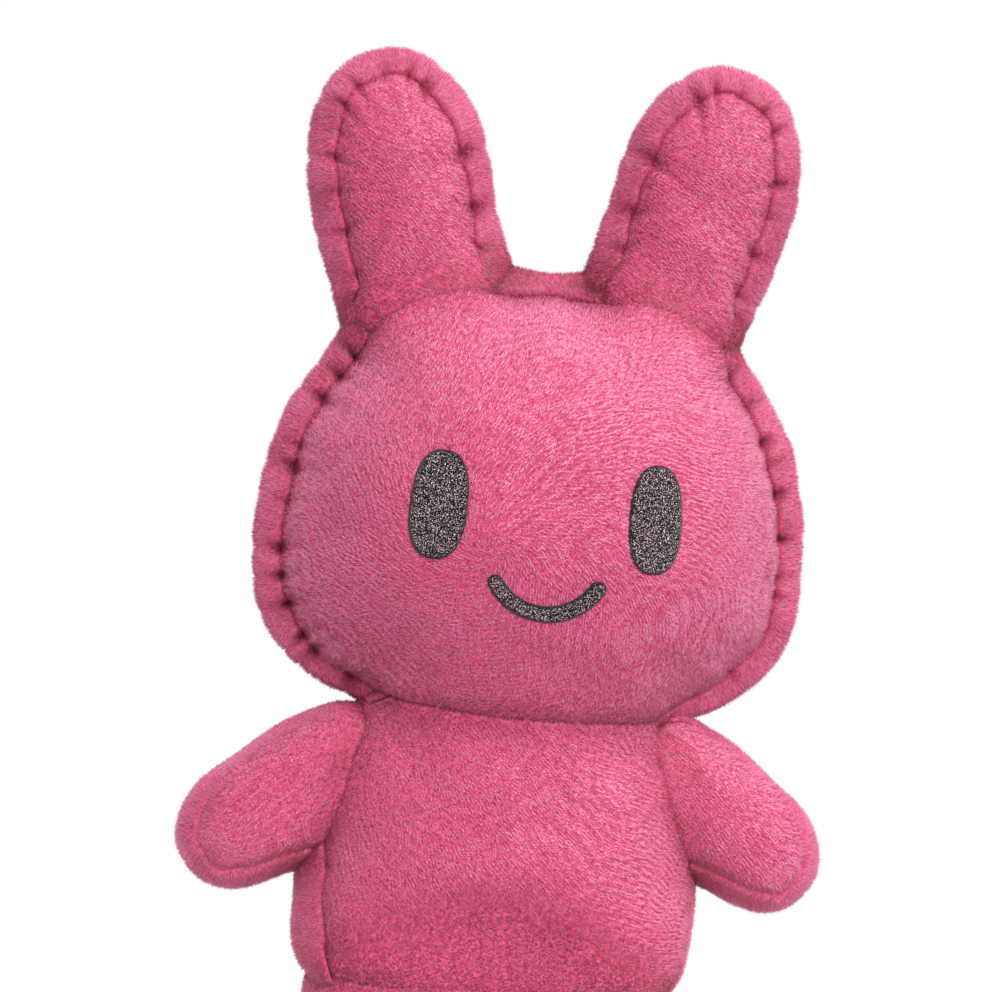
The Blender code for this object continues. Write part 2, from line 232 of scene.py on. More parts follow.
def superellipse(half_width, rise, drop, power_up, power_down, count=720):
    """A closed outline in millimetres, with its own height and roundness above and below its middle."""
    angle = np.arange(count) * 2 * np.pi / count
    c, s = np.cos(angle), np.sin(angle)
    power = np.where(s > 0, power_up, power_down)
    scale = (np.abs(c) ** power + np.abs(s) ** power) ** (-1.0 / power)
    height = np.where(s > 0, rise * MM, drop * MM)
    return np.column_stack([half_width * MM * c * scale, height * s * scale])


def evenly(outline, spacing):
    closed = np.vstack([outline, outline[:1]])
    along = np.concatenate([[0.0], np.cumsum(np.linalg.norm(np.diff(closed, axis=0), axis=1))])
    count = int(round(along[-1] / spacing))
    at = np.arange(count) * along[-1] / count
    return np.column_stack([np.interp(at, along, closed[:, k]) for k in (0, 1)])


def around(values, width):
    """Values round a closed line, smoothed with a bell of that width in points."""
    count = len(values)
    f = np.fft.rfftfreq(count)
    bell = np.exp(-2 * (np.pi * f * width) ** 2)
    spectrum = np.fft.rfft(values, axis=0)
    return np.fft.irfft(spectrum * (bell[:, None] if values.ndim > 1 else bell), count, axis=0)


def raised(flat, height):
    """Points (u, n, w) from points (u, w) and their n."""
    return np.column_stack([flat[:, 0], np.broadcast_to(height, len(flat)), flat[:, 1]])


# ---- pillows

class Pillow:
    """Two cloths sewn edge to edge and filled, in its own axes: u across, n towards the back, w up.

    These are functions of the edge's points: border is the border's width, inner_border the width that the
    filled part's contours see, opening the half thickness left open at the seam, pinch how hard the
    stitches pull and soft how gently the filled part rises. plump swells the piece from its very edge,
    simulated is the simulation's share in the relief, even evens the relief out towards the middle, and
    lumps is the size of the filling's lumps.
    """

    def __init__(
        self, outline, middle, depths, place, seed, border, opening, pinch, stitch=9.0,
        roll=3.0, plump=0.0, simulated=0.4, even=0.0, lumps=0.55, crease=None, soft=None, inner_border=None,
    ):
        self.middle = np.array(middle) * MM
        self.depths = {side: depth * MM for side, depth in zip(SIDES, depths)}
        self.place, self.seed, self.crease = place, seed, crease
        self.stitch, self.roll, self.lumps = stitch * MM, roll * MM, lumps * MM
        self.plump, self.simulated, self.even = plump, simulated, even
        self.edge = evenly(outline, SPACING)
        self.count = len(self.edge)
        tangent = unit(np.roll(self.edge, -1, 0) - np.roll(self.edge, 1, 0))
        tangent = unit(around(tangent, 2.0))
        self.inward = np.column_stack([-tangent[:, 1], tangent[:, 0]])
        self.opening = around(opening(self.edge), 3.0)
        self.pinch = pinch(self.edge)
        self.soft = np.zeros(self.count) if soft is None else soft(self.edge)
        stray = Waves(12 * MM, seed + 70).value(raised(self.edge, 0.0))
        width = around(border(self.edge), 3.0)
        self.border = width + STRAY * stray * smoothstep(width, 3 * MM, 6 * MM)
        self.groove = self.inside(self.border)
        self.inner = self.groove
        if inner_border is not None:
            self.inner = self.inside(around(inner_border(self.edge), 3.0))
        self.relief = None

    def inside(self, width):
        """The line that runs that far inside the edge."""
        return around(self.edge + self.inward * width[:, None], 2.5)

    def rim(self):
        """Half thickness at the topstitching."""
        return GROOVE + self.opening

    def dome(self, t, depth):
        """Half thickness of the filled part, from the topstitching at t = 0 to the middle at t = 1."""
        rim, soft = self.rim()[:, None], self.soft[:, None]
        power = 0.69 + 0.8 * soft * (1 - smoothstep(t, 0.0, 0.48))
        return rim + (depth - rim) * (1 - (1 - t) ** 2.5) ** power

    def whole(self, inside, depth):
        """Half thickness of a plump piece, which swells from its very edge and only has a shallow seam."""
        reach = np.linalg.norm(self.middle - self.edge, axis=1)
        share = np.clip(inside / reach, 0, 1)
        swell = (1 - (1 - share) ** 2.4) ** (1 / 1.8)
        seam = 1.2 * MM * np.exp(-((inside - self.border) / (1.2 * MM)) ** 2)
        seam = seam * smoothstep(self.border, 1.5 * MM, 4.0 * MM)
        return self.opening + (depth - self.opening) * swell - seam

    def flat_form(self, around_count=72, rows=9, swell=0.6):
        """A coarse closed form, a little flatter than the filled piece, to start the simulation from."""
        pick = np.linspace(0, self.count, around_count, endpoint=False).astype(int)
        t = np.linspace(0, 1, rows)
        points = []
        for side, sign in SIDES.items():
            rise = self.dome(t[None, :], self.depths[side] * swell)[pick]
            rise = np.maximum(rise, HELD_EDGE + self.opening[pick][:, None])
            for j in range(rows)[::int(sign)]:
                at = self.groove[pick] + (self.middle - self.groove[pick]) * min(t[j], 0.985)
                points.append(raised(at, sign * rise[:, j]))
        index = np.arange(2 * rows * around_count).reshape(-1, around_count)
        after = np.roll(index, -1, 1)
        quads = np.stack([index[:-1], after[:-1], after[1:], index[1:]], axis=-1).reshape(-1, 4)
        return np.vstack(points), [*quads.tolist(), index[0][::-1].tolist(), index[-1].tolist()]


def start_cloth(name, pillow):
    form = object_of(name + "_form", *pillow.flat_form())
    remesh = form.modifiers.new("remesh", "REMESH")
    remesh.mode, remesh.voxel_size, remesh.use_smooth_shade = "VOXEL", VOXEL, True
    graph = bpy.context.evaluated_depsgraph_get()
    mesh = bpy.data.meshes.new_from_object(form.evaluated_get(graph))
    cloth_object = bpy.data.objects.new(name + "_cloth", mesh)
    bpy.context.scene.collection.objects.link(cloth_object)
    bpy.data.objects.remove(form)
    away = np.array([np.linalg.norm(pillow.groove - p, axis=1).min() for p in points_of(mesh)[:, [0, 2]]])
    held = cloth_object.vertex_groups.new(name="held")
    held.add([int(i) for i in np.nonzero(away < 0.8 * VOXEL)[0]], 1.0, "REPLACE")
    cloth = cloth_object.modifiers.new("cloth", "CLOTH")
    settings = cloth.settings
    settings.quality, settings.mass = 5, 0.12
    settings.tension_stiffness, settings.compression_stiffness = 6.0, 6.0
    settings.shear_stiffness, settings.bending_stiffness = 3.0, 0.3
    settings.use_pressure, settings.uniform_pressure_force = True, PRESSURE
    settings.effector_weights.gravity = 0.0
    settings.vertex_group_mass = "held"
    settings.shrink_min = 0.02
    cloth.collision_settings.use_collision = False
    cloth.point_cache.frame_start, cloth.point_cache.frame_end = 1, FRAMES
    smooth = cloth_object.modifiers.new("subdivide", "SUBSURF")
    smooth.levels = smooth.render_levels = 1
    return cloth_object


def simulate(pillows):
    """Blows each pillow up as cloth and keeps how far its two faces stand from the middle plane."""
    cloths = [start_cloth(name, pillow) for name, pillow in pillows.items()]
    scene = bpy.context.scene
    for number in range(1, FRAMES + 1):
        scene.frame_set(number)
    graph = bpy.context.evaluated_depsgraph_get()
    for pillow, cloth_object in zip(pillows.values(), cloths):
        evaluated = cloth_object.evaluated_get(graph)
        tree = tree_of(evaluated.to_mesh())
        evaluated.to_mesh_clear()
        pillow.relief = {side: read_relief(pillow, tree, sign) for side, sign in SIDES.items()}
    for cloth_object in cloths:
        bpy.data.objects.remove(cloth_object)
    scene.frame_set(1)


def read_relief(pillow, tree, sign):
    """Heights on a coarse grid of (along the edge, inward)."""
    pick = np.arange(0, pillow.count, RELIEF_STEP)
    t = np.linspace(0, 1, RELIEF_ROWS)
    heights = np.zeros((len(pick), len(t)))
    for i, p in enumerate(pick):
        for j, share in enumerate(t):
            at = pillow.groove[p] + (pillow.middle - pillow.groove[p]) * share
            hit = tree.ray_cast(Vector((at[0], sign * 0.2, at[1])), Vector((0, -sign, 0)))
            heights[i, j] = sign * hit[0].y if hit[0] is not None else np.nan
    rim = HELD_EDGE + pillow.opening[pick]
    heights = np.where(np.isnan(heights), rim[:, None], heights)
    heights[:, -1] = heights[:, -1].mean()
    return pick, t, heights


def upsample(pillow, side, rows):
    """The simulated height at each fine grid point, scaled to the piece's depth."""
    pick, t, heights = pillow.relief[side]
    depth = pillow.depths[side]
    heights = heights * (depth / np.percentile(heights, 99.5)) * pillow.simulated
    heights = heights + pillow.dome(t[None, :], depth)[pick] * (1 - pillow.simulated)
    heights = heights + (pillow.rim()[pick] - heights[:, 0])[:, None] * (1 - t) ** 4
    inward = np.stack([np.interp(rows, t, row) for row in heights])
    wrap_at = np.concatenate([pick, [pillow.count]])
    wrapped = np.vstack([inward, inward[:1]])
    every = np.arange(pillow.count)
    return around(np.stack([np.interp(every, wrap_at, column) for column in wrapped.T], axis=1), 2.0)


def stitching(pillow):
    """Where the border is topstitched, and how hard stitches pull there, close to them and further off."""
    rng = np.random.default_rng(pillow.seed)
    length = SPACING * pillow.count
    along = np.arange(pillow.count) * SPACING
    stitches = max(8, int(length / pillow.stitch))
    where = (np.arange(stitches) + rng.uniform(-0.28, 0.28, stitches)) * length / stitches
    force = rng.uniform(0.1, 1.15, stitches)
    width = rng.uniform(1.5, 2.4, stitches) * MM
    gap = np.abs((along[:, None] - where[None, :] + length / 2) % length - length / 2)
    sewn = smoothstep(pillow.border, 1.5 * MM, 4.0 * MM)
    narrow = (force * np.exp(-((gap / width) ** 2))).sum(axis=1) * pillow.pinch * sewn
    wide = (force * np.exp(-((gap / (2.6 * width)) ** 2))).sum(axis=1) * pillow.pinch * sewn
    return sewn, narrow, wide


def facts_of(sign, inside, past, pressed_and_shaded):
    """What the pile knows at each point: side, how far in from the edge and the topstitching, pressed and
    painted shade.
    """
    return np.column_stack([np.full(len(inside), sign), inside, past, pressed_and_shaded])


def cover(pillow, right=False):
    """The closed cover's points and faces, with the facts and the inward direction at each point."""
    count = pillow.count
    sewn, narrow, wide = stitching(pillow)
    taut = np.clip(wide, 0, 1)
    shadow = (0.10 * sewn + 1.0 * narrow) * (1 - 0.6 * pillow.plump)
    bridged = sewn * (1 - np.clip(1.5 * narrow, 0, 1))
    wobble = WOBBLE * Waves(30 * MM, pillow.seed + 50).value(raised(pillow.edge, 0.0))
    wave = WAVE * Waves(24 * MM, pillow.seed + 51).value(raised(pillow.edge, 0.0)) * sewn
    roll = pillow.roll * np.clip(pillow.border / (8.5 * MM), 0.12, 1.0)
    roll = roll * (1 - 0.25 * narrow) * (1 + 0.06 * (1 - taut))

    shares = (1 - np.cos(np.pi * np.arange(BORDER_ROWS) / BORDER_ROWS)) / 2
    rows = np.linspace(0, 1, DOME_ROWS + 1)[:-1] ** 1.08
    reach = np.linalg.norm(pillow.middle - pillow.groove, axis=1)
    to_inner = smoothstep(rows, 0.0, 0.32)[None, :, None]
    start = pillow.groove[:, None, :] * (1 - to_inner) + pillow.inner[:, None, :] * to_inner
    flat = start + (pillow.middle - start) * rows[None, :, None]

    rings, facts = {}, {}
    for side, sign in SIDES.items():
        depth = pillow.depths[side]
        rings[side], facts[side] = [], []
        for s in shares:
            inside = pillow.border * s
            past = inside - pillow.border
            tube = max(1 - abs(2 * s - 1) ** 2.3, 0.0) ** 0.5
            high = 0.15 * MM + roll * tube + GROOVE * s + pillow.opening
            high = high + BRIDGE * bridged * s ** 3 - DIMPLE * narrow * smoothstep(s, 0.35, 1.0)
            high = high * (1 - pillow.plump) + pillow.whole(inside, depth) * pillow.plump + SKIN
            shift = (1 - s) * (wobble - 0.45 * MM * narrow)
            at = pillow.edge + (pillow.groove - pillow.edge) * s - pillow.inward * shift[:, None]
            rings[side].append(raised(at, sign * high + wave * (1 - s * 0.5)))
            facts[side].append(facts_of(sign, inside, past, shadow * np.exp(-(past / (3.6 * MM)) ** 2)))

        dome = pillow.dome(rows[None, :], depth) if pillow.relief is None else upsample(pillow, side, rows)
        lumps = Waves(34 * MM, pillow.seed + 60 + int(sign))
        for j, t in enumerate(rows):
            at, past = flat[:, j], t * reach
            high = around(dome[:, j], pillow.even * t)
            pull = PULL * narrow * np.exp(-past / (3.5 * MM)) + DRAG * wide * np.exp(-past / (7 * MM))
            puff = PUFF * (1 - taut) * sewn * np.exp(-((past - 5 * MM) / (5 * MM)) ** 2)
            high = high - pull * smoothstep(past, -1 * MM, 2.5 * MM) + puff
            high = high + BRIDGE * bridged * np.exp(-past / (3.2 * MM))
            lump = pillow.lumps * lumps.value(raised(at, sign * depth))
            high = high + lump * smoothstep(past, 4 * MM, 14 * MM)
            sunk = np.zeros(count) if pillow.crease is None else pillow.crease(at)
            swollen = pillow.whole(past + pillow.border, depth)
            high = (high + sunk) * (1 - pillow.plump) + swollen * pillow.plump + SKIN
            high = np.maximum(high, GROOVE * 0.6 + pillow.opening * (1 - t))
            rings[side].append(raised(at, sign * high + wave * 0.5 * math.exp(-t * 12)))
            # Painted shade beside the stitches' pinches and down in the belly crease; the same value also
            # shortens the tufts there.
            pressed_and_shaded = shadow * np.exp(-(past / (2.2 * MM)) ** 2) - sunk / CREASE_SHADE
            facts[side].append(facts_of(sign, past + pillow.border, past, pressed_and_shaded))

    points = np.vstack(rings["front"][::-1] + rings["back"])
    facts = np.vstack(facts["front"][::-1] + facts["back"])
    index = np.arange(len(points)).reshape(-1, count)
    points = np.vstack([points, points[index[0]].mean(axis=0), points[index[-1]].mean(axis=0)])
    facts = np.vstack([facts, facts[index[0, 0]], facts[index[-1, 0]]])
    faces = closed_faces(index)
    inward = np.tile(raised(pillow.inward, 0.0), (len(index), 1))
    inward = np.vstack([inward, [[0, 0, -1]], [[0, 0, -1]]])
    if right:
        points[:, 0] *= -1
        inward[:, 0] *= -1
    else:
        faces = [tuple(reversed(face)) for face in faces]
    rotation, origin = pillow.place(right)
    rotation = np.array(rotation)
    return points @ rotation.T + np.array(origin), faces, facts, inward @ rotation.T


def closed_faces(index):
    """Quads between rings of points, with a fan from one more point at each end."""
    a, b = index[:-1], index[1:]
    quads = np.stack([a, np.roll(a, -1, 1), np.roll(b, -1, 1), b], axis=-1).reshape(-1, 4)
    first, last = index.size, index.size + 1
    ring0, ring1 = index[0].tolist(), index[-1].tolist()
    faces = [tuple(quad) for quad in quads.tolist()]
    faces += [(first, after, here) for here, after in zip(ring0, ring0[1:] + ring0[:1])]
    faces += [(last, here, after) for here, after in zip(ring1, ring1[1:] + ring1[:1])]
    return faces


def build_cover(name, pillow, material, right=False):
    world, faces, facts, inward = cover(pillow, right)
    world = world + np.array(NUDGE.get(name, (0, 0, 0))) * MM
    return object_of(name, world, faces, [material]), facts, inward


# ---- materials

def shader(name, roughness, specular=0.25, sheen=0.0, sheen_tint=(1, 1, 1)):
    material = bpy.data.materials.new(name)
    material.use_nodes = True
    nodes = material.node_tree.nodes
    bsdf = nodes["Principled BSDF"]
    bsdf.inputs["Roughness"].default_value = roughness
    bsdf.inputs["Specular IOR Level"].default_value = specular
    bsdf.inputs["Sheen Weight"].default_value = sheen
    bsdf.inputs["Sheen Roughness"].default_value = 0.45
    bsdf.inputs["Sheen Tint"].default_value = (*sheen_tint, 1)
    return material, nodes, material.node_tree.links, bsdf


def ramp_of(nodes, stops):
    ramp = nodes.new("ShaderNodeValToRGB")
    elements = ramp.color_ramp.elements
    elements[0].position, elements[0].color = stops[0][0], (*stops[0][1], 1)
    elements[1].position, elements[1].color = stops[-1][0], (*stops[-1][1], 1)
    for at, colour in stops[1:-1]:
        elements.new(at).color = (*colour, 1)
    return ramp


def grain(nodes, links, bsdf, scale, detail, roughness, height, strength):
    """Fine noise on the surface, which also stands up as a small bump."""
    place, noise = nodes.new("ShaderNodeTexCoord"), nodes.new("ShaderNodeTexNoise")
    noise.inputs["Scale"].default_value = scale
    noise.inputs["Detail"].default_value = detail
    noise.inputs["Roughness"].default_value = roughness
    bump = nodes.new("ShaderNodeBump")
    bump.inputs["Distance"].default_value = height
    bump.inputs["Strength"].default_value = strength
    links.new(place.outputs["Object"], noise.inputs["Vector"])
    links.new(noise.outputs["Fac"], bump.inputs["Height"])
    links.new(bump.outputs["Normal"], bsdf.inputs["Normal"])
    return noise.outputs["Fac"]


def pile_material():
    material, nodes, links, bsdf = shader("pink_pile", 0.5, 1.0, 0.05, (1.0, 0.6, 0.75))
    shade = nodes.new("ShaderNodeAttribute")
    shade.attribute_name = "shade"
    ramp = ramp_of(nodes, [(0.0, DEEP_SHADE_PINK), (0.2, ROOT_SHADE_PINK), (0.5, MID_PINK), (1.0, TIP_AND_HIGHLIGHT_PINK)])
    links.new(shade.outputs["Fac"], ramp.inputs["Fac"])
    links.new(ramp.outputs["Color"], bsdf.inputs["Base Color"])
    return material


def cloth_material():
    material, nodes, links, bsdf = shader("pink_cloth", 0.95, 0.25, 0.2, (1.0, 0.72, 0.82))
    level = grain(nodes, links, bsdf, 900.0, 2.0, 0.5, 0.4 * MM, 0.6)
    # The cloth's grain runs between pinks that are darkened as painted shade under the pile.
    ramp = ramp_of(nodes, [(0.3, ROOT_SHADE_PINK), (0.7, SHADED_CLOTH_PINK)])
    links.new(level, ramp.inputs["Fac"])
    links.new(ramp.outputs["Color"], bsdf.inputs["Base Color"])
    return material


def felt_material():
    material, nodes, links, bsdf = shader("dark_felt", 0.9, 0.25, 0.25, (0.9, 0.85, 0.88))
    level = grain(nodes, links, bsdf, 2600.0, 1.0, 0.75, 0.5 * MM, 0.9)
    ramp = ramp_of(nodes, FELT_STOPS)
    rim = nodes.new("ShaderNodeAttribute")
    rim.attribute_name = "rim"
    mix = nodes.new("ShaderNodeMix")
    mix.data_type = "RGBA"
    mix.inputs["B"].default_value = (*FELT_RIM, 1)
    links.new(level, ramp.inputs["Fac"])
    links.new(ramp.outputs["Color"], mix.inputs["A"])
    links.new(rim.outputs["Fac"], mix.inputs["Factor"])
    links.new(mix.outputs["Result"], bsdf.inputs["Base Color"])
    return material


# ---- where covers meet

def shell_of(obj):
    """A cover's corners and its surface, to measure from."""
    co = points_of(obj.data)
    return co.min(axis=0), co.max(axis=0), tree_of(obj.data)


def clearance(points, shells, margin):
    """How far outside the nearest of the shells each point lies: negative inside, and never over 20 mm."""
    gap = np.full(len(points), 20 * MM)
    for low, high, tree in shells:
        near = np.nonzero(((points > low - margin) & (points < high + margin)).all(axis=1))[0]
        for i in near:
            point = Vector(points[i])
            place, normal, _, _ = tree.find_nearest(point)
            away = (point - place).length
            gap[i] = min(gap[i], -away if (point - place).dot(normal) < 0 else away)
    return gap


def fill_crease(obj, others, reach, rise):
    """Lifts a cover's surface where it comes near another's, so that the two meet in a soft valley."""
    _, co, normals = triangles_of(obj.data)
    gap = clearance(co, others, reach)
    lift = rise * np.clip(1 - np.maximum(gap, 0) / reach, 0, 1) ** 2
    obj.data.vertices.foreach_set("co", (co + normals * lift[:, None]).ravel())
    obj.data.update()


# ---- pile

def scatter(obj, facts, inward, sign, density, rng):
    """Random places on one face of a cover: the point, the normal, the facts and the way outward."""
    triangles, co, normals = triangles_of(obj.data)
    side = facts[:, 0] * sign
    triangles = triangles[side[triangles].sum(axis=1) > 0]
    a, b, c = co[triangles[:, 0]], co[triangles[:, 1]], co[triangles[:, 2]]
    area = np.linalg.norm(np.cross(b - a, c - a), axis=1) / 2
    count = int(area.sum() / MM ** 2 * density)
    pick = np.searchsorted(np.cumsum(area) / area.sum(), rng.uniform(size=count))
    rows = triangles[np.minimum(pick, len(triangles) - 1)]
    u, v = rng.uniform(size=(2, count))
    flip = u + v > 1
    u, v = np.where(flip, 1 - u, u), np.where(flip, 1 - v, v)
    share = np.column_stack([1 - u - v, u, v])[:, :, None]
    fields = (co, normals, facts, inward)
    root, normal, known, away = ((field[rows] * share).sum(axis=1) for field in fields)
    return root, unit(normal), known, -away


def grow_pile(name, shell, sign, density, nap, seed, material, near, bare, contrast):
    """Tufts over one face of a cover, which lean with the nap and draw together in clumps."""
    rng = np.random.default_rng(seed)
    root, normal, facts, away = scatter(*shell, sign, density, rng)
    if bare is not None:
        keep = ~bare(root)
        root, normal, facts, away = root[keep], normal[keep], facts[keep], away[keep]
    gap = clearance(root, near, 12 * MM)
    keep = gap > -2.5 * MM
    root, normal, facts, away, gap = root[keep], normal[keep], facts[keep], away[keep], gap[keep]
    count, past = len(root), facts[:, 2]

    # The way each tuft lies: outward on the border, with the nap on the filled part.
    filled = smoothstep(past, -0.5 * MM, 4.0 * MM)
    on_dome = filled[:, None]
    lean = unit(away) * (1 - on_dome) + unit(nap(root)) * on_dome
    lean = lean - normal * (lean * normal).sum(axis=1, keepdims=True)
    lean = unit(lean + 1e-9)
    across = np.cross(normal, lean)

    # Clumps, drawn out along the nap, with partings between them.
    fine, wide = CLUMP_FINE.slope(root), CLUMP_WIDE.slope(root)
    steps = range(-STREAK_REACH, STREAK_REACH + 1)
    streak = sum(CLUMP_FINE.value(root + lean * (k * STREAK_STEP)) for k in steps)
    streak = streak / streak.std()
    parting, ridge = contrast * smoothstep(-streak, -0.1, 1.3), contrast * smoothstep(streak, 0.2, 1.7)

    pressed_and_shaded = np.clip(facts[:, 3], 0, 1.2)
    length = (TUFT_LONG + (TUFT_SHORT - TUFT_LONG) * filled) * rng.uniform(0.8, 1.15, count)
    length = length * (1 - 0.2 * parting * filled)
    length = length * (1 - 0.45 * pressed_and_shaded) * (1 - 0.3 * np.exp(-(past / (1.6 * MM)) ** 2))
    angle = np.radians(rng.normal(0, 7, count) + 62 - 40 * filled)[:, None]
    way = normal * np.cos(angle) + lean * np.sin(angle)
    way = way + (0.20 + 0.16 * filled)[:, None] * fine + 0.09 * wide + 0.08 * rng.normal(size=(count, 3))
    way = unit(way)
    low = (way * normal).sum(axis=1, keepdims=True)
    way = unit(way + normal * np.maximum(0.25 - low, 0))
    root = root - normal * (0.35 * MM * parting * filled)[:, None]
    tip = root + way * length[:, None]

    turn = rng.uniform(0, 2 * np.pi, count)
    foot = (TUFT_THIN + (TUFT_THICK - TUFT_THIN) * filled) * rng.uniform(0.85, 1.2, count)
    corners, normals = [], []
    for k in range(3):
        phase = turn + k * 2 * np.pi / 3
        out = across * np.cos(phase)[:, None] + lean * np.sin(phase)[:, None]
        corners.append(root - normal * TUFT_FOOT + out * foot[:, None])
        normals.append(unit(0.75 * normal + 0.45 * out + 0.2 * way))
    corners.append(tip)
    normals.append(unit(0.7 * normal + 0.45 * way))
    points, normals = np.stack(corners, axis=1), np.stack(normals, axis=1)

    # Painted highlight on the clumps' ridges and painted shade in the partings, over the pile's own tone.
    tone = 0.5 + 0.12 * filled + 0.22 * filled * ridge - (0.12 + 0.62 * filled) * parting
    # The pile's own random tone, less painted shade where stitches pinch it and in the belly crease.
    tone = tone + 0.03 * CLOUDS.value(root) + rng.normal(0, 0.05, count) - 0.85 * pressed_and_shaded
    # Painted shade where the pile comes near another cover, and on pile that faces down.
    tone = tone - 0.45 * np.exp(-np.maximum(gap, 0) / (5 * MM)) - 0.2 * smoothstep(-normal[:, 2], 0.25, 0.8)
    # Each tuft's foot gets painted shade, and its tip a lighter tone that is partly a painted highlight.
    shade = np.clip(np.stack([tone - 0.30] * 3 + [tone + 0.22], axis=1), 0, 1)

    # In strips from side to side, so that no one mesh grows too heavy.
    strips = math.ceil(count / TUFTS_IN_STRIP)
    order = np.array_split(np.argsort(root[:, 0], kind="stable"), strips)
    names = [name] if strips == 1 else [f"{name}_{number}" for number in range(1, strips + 1)]
    return [
        tuft_mesh(part, points[strip], normals[strip], shade[strip], material)
        for part, strip in zip(names, order)
    ]


def tuft_mesh(name, points, normals, shade, material):
    """Three-sided spikes, each of three foot points and a tip."""
    count = len(points)
    sides = np.array([[1, 0, 3], [2, 1, 3], [0, 2, 3]])
    faces = (np.arange(count)[:, None, None] * 4 + sides[None]).reshape(-1, 3)
    tufts = object_of(name, points.reshape(-1, 3), faces, [material])
    tufts.data.normals_split_custom_set_from_vertices(normals.reshape(-1, 3))
    attribute = tufts.data.attributes.new("shade", "FLOAT", "POINT")
    attribute.data.foreach_set("value", shade.astype(np.float32).ravel())
    add_cells(tufts.data, count, len(sides))
    return tufts


def add_cells(mesh, count, faces_each):
    """A UV map with one small cell for each tuft, root along its foot and tip at its head."""
    layer = mesh.uv_layers.new(name="OFBake")
    side = math.ceil(math.sqrt(count))
    cell = np.arange(count)
    corner = np.column_stack([cell % side, cell // side]) / side
    ends = np.array([[0.15, 0.15], [0.85, 0.15], [0.5, 0.85]]) / side
    uv = corner[:, None, None, :] + ends[None, None, :, :]
    uv = np.broadcast_to(uv, (count, faces_each, 3, 2))
    layer.data.foreach_set("uv", uv.astype(np.float32).ravel())


def naps(name):
    """The way the pile lies on a piece, as a function of place."""
    kind = name.split("_")[0]

    def nap(points):
        x, _, z = points.T
        level = np.zeros(len(x))
        if kind == "head":
            # Combed outward from the middle of the face, turned clockwise, and nearly level across the chin.
            out_x, out_z = x / 0.07, (z - 0.215) / 0.06
            turn = np.radians(35 + 40 * smoothstep(0.200 - z, 0.0, 0.035))
            c, s = np.cos(turn), np.sin(turn)
            return np.column_stack([out_x * c + out_z * s + 0.25, level, out_z * c - out_x * s])
        if kind == "body":
            turn = 25 + 38 * smoothstep(x, -0.05, 0.04) + 20 * smoothstep(0.100 - z, 0.0, 0.025)
            return np.column_stack([np.sin(np.radians(turn)), level, -np.cos(np.radians(turn))])
        if kind == "ear":
            return np.column_stack([level + 0.8, level, level - 0.55])
        if kind == "arm":
            return np.column_stack([np.sign(x) * 0.9, level, level - 0.7])
        if kind == "tail":
            return np.column_stack([x, level, level - 0.01])
        return np.column_stack([level + 0.1, level, level - 1.0])
    return nap


# ---- felt features

def face_y(tree, x, z):
    hit = tree.ray_cast(Vector((x, -0.2, z)), Vector((0, 1, 0)))
    return hit[0].y


def felt_patch(name, tree, line, half, material, rows=15):
    """A felt shape laid on the face: a strip of changing width along a line in (x, z), closed all round."""
    tangent = unit(np.gradient(line, axis=0))
    side = np.column_stack([-tangent[:, 1], tangent[:, 0]])
    outline = np.vstack([line + side * half[:, None], (line - side * half[:, None])[::-1]])
    v = np.sin(np.linspace(-np.pi / 2, np.pi / 2, rows))
    flat = line[:, None, :] + side[:, None, :] * (half[:, None] * v)[:, :, None]
    count = len(line)
    flat = flat.reshape(-1, 2)
    gap = np.array([np.linalg.norm(outline - p, axis=1).min() for p in flat])
    lift = FELT_THICK * (1 - (1 - np.clip(gap / FELT_ROUND, 0, 1)) ** 2) ** 0.5
    y = np.array([face_y(tree, x, z) for x, z in flat])
    top = raised(flat, y - lift - 0.25 * MM)
    top[:, 1] += 0.06 * MM * Waves(1.2 * MM, 31, 18).value(top)
    bottom = raised(flat, y + 0.3 * MM)
    index = np.arange(count * rows).reshape(count, rows)
    a, b, c, d = index[:-1, :-1], index[1:, :-1], index[1:, 1:], index[:-1, 1:]
    quads = np.stack([a, b, c, d], axis=-1).reshape(-1, 4)
    below = quads[:, ::-1] + count * rows
    loop = np.concatenate([index[:, 0], index[-1, 1:], index[::-1, -1][1:], index[0, ::-1][1:-1]])
    after = np.roll(loop, -1)
    wall = np.column_stack([after, loop, loop + count * rows, after + count * rows])
    obj = object_of(name, np.vstack([top, bottom]), np.vstack([quads, below, wall]), [material])
    rim = np.concatenate([1 - smoothstep(gap, 0.35 * MM, 1.1 * MM), np.ones(len(flat))])
    attribute = obj.data.attributes.new("rim", "FLOAT", "POINT")
    attribute.data.foreach_set("value", rim.astype(np.float32))
    return obj, outline


def eye_shape(low, high, lean, shift):
    """An upright oval inside the CAD eye's box, as a line in (x, z) and its half widths."""
    middle = np.array([(low.x + high.x) / 2 + shift, (low.z + high.z) / 2])
    a, b = (high.x - low.x) / 2 * 0.91, (high.z - low.z) / 2 * 0.97
    t = np.sin(np.linspace(-np.pi / 2, np.pi / 2, 61))
    tilt = math.radians(lean)
    line = middle + np.outer(b * t, (math.sin(tilt), math.cos(tilt)))
    half = a * (1 - np.abs(t) ** 2.5) ** (1 / 2.5) * (1 - 0.03 * t)
    return line, half


